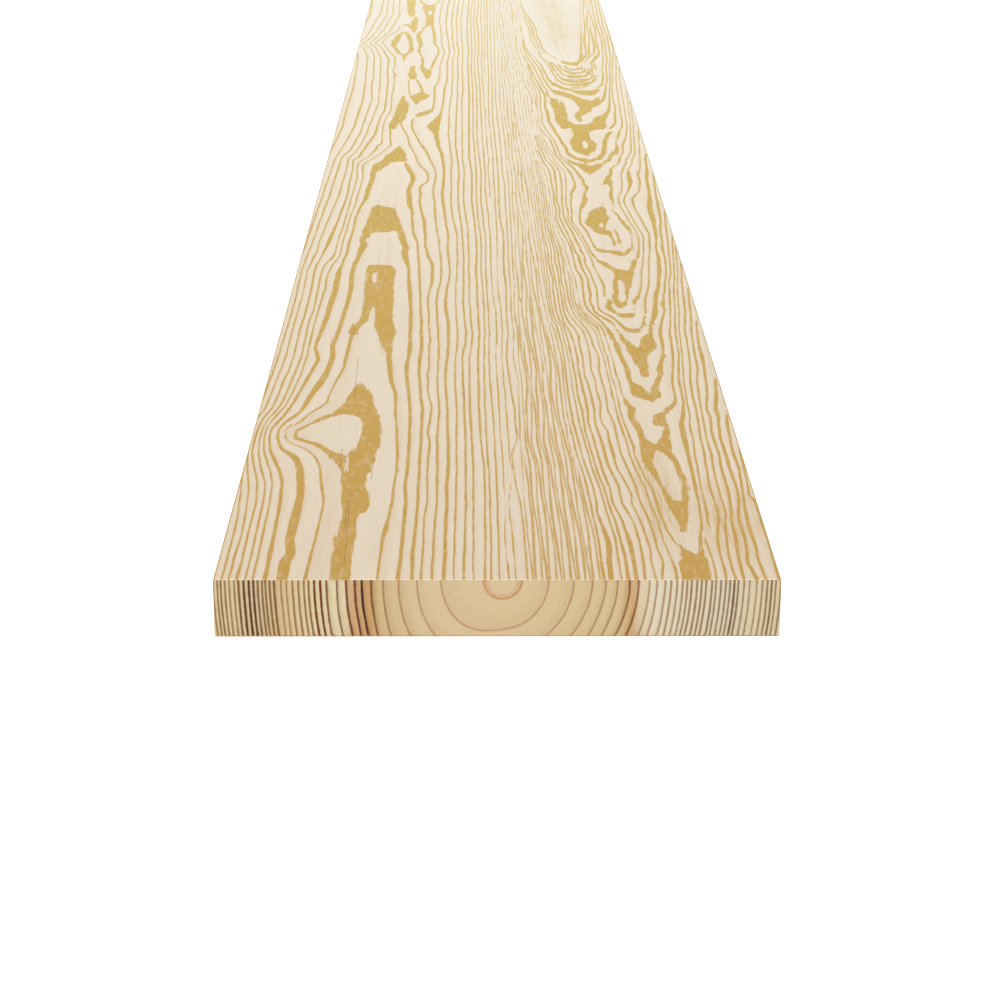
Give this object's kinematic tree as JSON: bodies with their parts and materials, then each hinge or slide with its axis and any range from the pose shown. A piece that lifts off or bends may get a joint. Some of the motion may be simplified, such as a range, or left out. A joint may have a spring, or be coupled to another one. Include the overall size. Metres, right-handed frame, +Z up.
{
  "type": "timber lumber plank",
  "caption": "Planed softwood plank of flat-sawn stock, long and rectangular with eased edges and square saw-cut ends.",
  "frame": {"origin": "middle of the underside, on the surface that the plank lies on", "axes": "+Y along the length, from the near end to the far end; +X across the width; +Z up through the thickness"},
  "size_m": [0.235, 1.8288, 0.0254],
  "materials": {
    "planed_pine": "planed, unfinished"
  },
  "bodies": {
    "root": {"plank": "planed_pine"}
  },
  "joints": []
}
